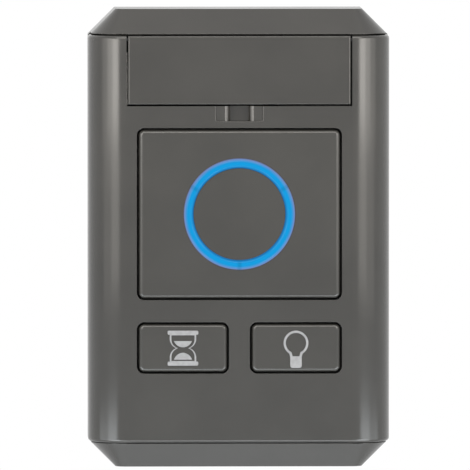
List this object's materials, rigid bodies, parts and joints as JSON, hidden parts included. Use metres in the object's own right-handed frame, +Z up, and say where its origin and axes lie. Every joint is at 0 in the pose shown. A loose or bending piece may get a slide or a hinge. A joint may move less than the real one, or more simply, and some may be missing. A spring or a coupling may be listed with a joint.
{
  "type": "wireless wall console",
  "caption": "Wall-hung wireless control with a hinged flip cover, a large push button with a light ring, and timer and lamp buttons, on a hooked bracket.",
  "frame": {"origin": "centre of the two wall screws, on the wall bracket's back face", "axes": "+Z up, +X to the right as seen from the room, +Y into the wall, the front faces -Y"},
  "size_m": [0.079, 0.0281, 0.12],
  "materials": {
    "case_plastic": "satin moulded plastic, fine grain",
    "button_plastic": "satin moulded plastic, fine grain",
    "bracket_plastic": "moulded plastic",
    "tray_plastic": "moulded plastic",
    "legend": "printed legend",
    "light_guide": "clear light guide, lit blue",
    "clear_lens": "clear plastic lens",
    "learn_plastic": "moulded plastic",
    "pin_steel": "ground steel",
    "screw_steel": "zinc plated",
    "contact_metal": "nickel plated spring steel",
    "cell_sleeve": "printed sleeve",
    "board_laminate": "solder resist",
    "switch_case": "moulded plastic",
    "plunger_plastic": "moulded plastic",
    "chip_epoxy": "moulded epoxy",
    "lamp_case": "moulded lamp case",
    "shield_metal": "tinned steel",
    "can_metal": "drawn can"
  },
  "bodies": {
    "wall_bracket": {"wall_bracket": "bracket_plastic"},
    "console": {"rear_housing": "case_plastic", "front_cover": "case_plastic", "battery_tray": "tray_plastic", "battery_cell": "cell_sleeve", "negative_contact": "contact_metal", "positive_contact": "contact_metal", "circuit_board": "board_laminate", "status_lens": "clear_lens", "antenna": "contact_metal", "microcontroller": "chip_epoxy", "radio_module": "shield_metal", "crystal": "can_metal", "status_lamp": "lamp_case", "ring_lamps": "lamp_case", "case_screws": "screw_steel", "board_screws": "screw_steel", "capacitors": "can_metal", "main_switch": "switch_case", "timer_switch": "switch_case", "light_switch": "switch_case", "learn_switch": "switch_case"},
    "flip_cover": {"flip_cover": "case_plastic", "hinge_pin_left": "pin_steel", "hinge_pin_right": "pin_steel"},
    "main_button": {"main_button": "button_plastic", "ring_light": "light_guide", "main_plunger": "plunger_plastic"},
    "timer_button": {"timer_button": "button_plastic", "timer_icon": "legend", "timer_plunger": "plunger_plastic"},
    "light_button": {"light_button": "button_plastic", "light_icon": "legend", "light_plunger": "plunger_plastic"},
    "learn_button": {"learn_button": "learn_plastic", "learn_plunger": "plunger_plastic"}
  },
  "joints": [
    {"name": "console_lift", "type": "slide", "parent": "wall_bracket", "child": "console", "axis": [0, 0, 1], "range_m": [0, 0.0038]},
    {"name": "flip_cover_hinge", "type": "hinge", "parent": "console", "child": "flip_cover", "pos_m": [0, -0.026, 0.0521], "axis": [-1, 0, 0], "range_deg": [0, 100]},
    {"name": "main_button_press", "type": "slide", "parent": "console", "child": "main_button", "axis": [0, 1, 0], "range_m": [0, 0.0006], "stiffness_N_per_m": 2500, "springref_m": -0.0005},
    {"name": "timer_button_press", "type": "slide", "parent": "console", "child": "timer_button", "axis": [0, 1, 0], "range_m": [0, 0.0006], "stiffness_N_per_m": 2000, "springref_m": -0.0005},
    {"name": "light_button_press", "type": "slide", "parent": "console", "child": "light_button", "axis": [0, 1, 0], "range_m": [0, 0.0006], "stiffness_N_per_m": 2000, "springref_m": -0.0005},
    {"name": "learn_button_press", "type": "slide", "parent": "console", "child": "learn_button", "axis": [0, 1, 0], "range_m": [0, 0.0006], "stiffness_N_per_m": 1500, "springref_m": -0.0005}
  ]
}
